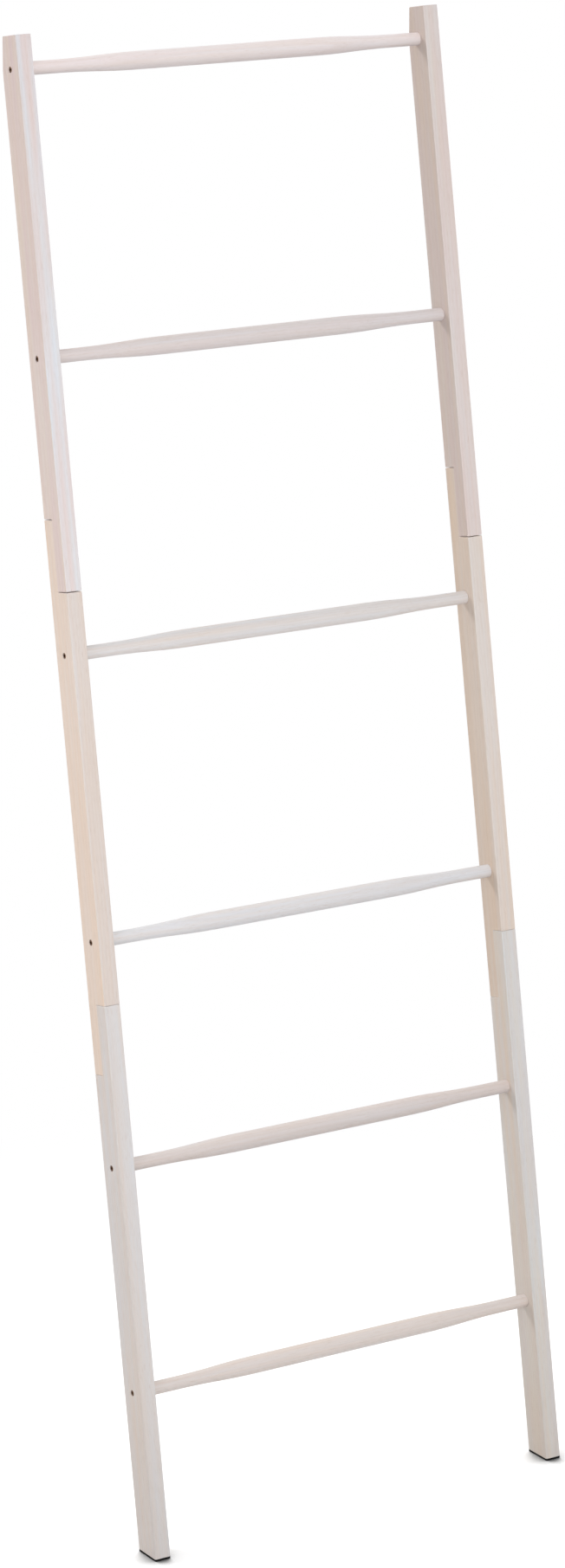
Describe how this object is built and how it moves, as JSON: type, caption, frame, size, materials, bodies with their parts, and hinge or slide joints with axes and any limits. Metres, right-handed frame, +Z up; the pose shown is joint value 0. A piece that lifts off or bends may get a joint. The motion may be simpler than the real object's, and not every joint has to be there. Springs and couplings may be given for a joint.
{
  "type": "towel ladder",
  "caption": "Leaning wooden towel ladder with half-lapped three-piece stiles, turned tapered rungs, sunk rung screws and flat rubber feet, finished in pale whitewash.",
  "frame": {"origin": "on the floor, midway between the stiles, midway between the front of the feet and the wall", "axes": "+X to the right seen from the front, +Y back to the wall, +Z up"},
  "size_m": [0.553, 0.3052, 1.6767],
  "materials": {
    "stile_wood": "matt whitewash over fine straight grain",
    "rung_wood": "matt whitewash over turned wood",
    "foot_rubber": "matt black",
    "screw_steel": "dark bronzed steel",
    "insert_brass": "plain machined brass"
  },
  "bodies": {
    "root": {"left_top_stile": "stile_wood", "left_middle_stile": "stile_wood", "left_bottom_stile": "stile_wood", "right_top_stile": "stile_wood", "right_middle_stile": "stile_wood", "right_bottom_stile": "stile_wood", "rung_1": "rung_wood", "rung_2": "rung_wood", "rung_3": "rung_wood", "rung_4": "rung_wood", "rung_5": "rung_wood", "rung_6": "rung_wood", "left_foot_pad": "foot_rubber", "right_foot_pad": "foot_rubber", "rung_1_screws": "screw_steel", "rung_2_screws": "screw_steel", "rung_3_screws": "screw_steel", "rung_4_screws": "screw_steel", "rung_5_screws": "screw_steel", "rung_6_screws": "screw_steel", "left_lower_lap_bolts": "screw_steel", "left_upper_lap_bolts": "screw_steel", "right_lower_lap_bolts": "screw_steel", "right_upper_lap_bolts": "screw_steel", "left_lower_lap_inserts": "insert_brass", "left_upper_lap_inserts": "insert_brass", "right_lower_lap_inserts": "insert_brass", "right_upper_lap_inserts": "insert_brass"}
  },
  "joints": []
}
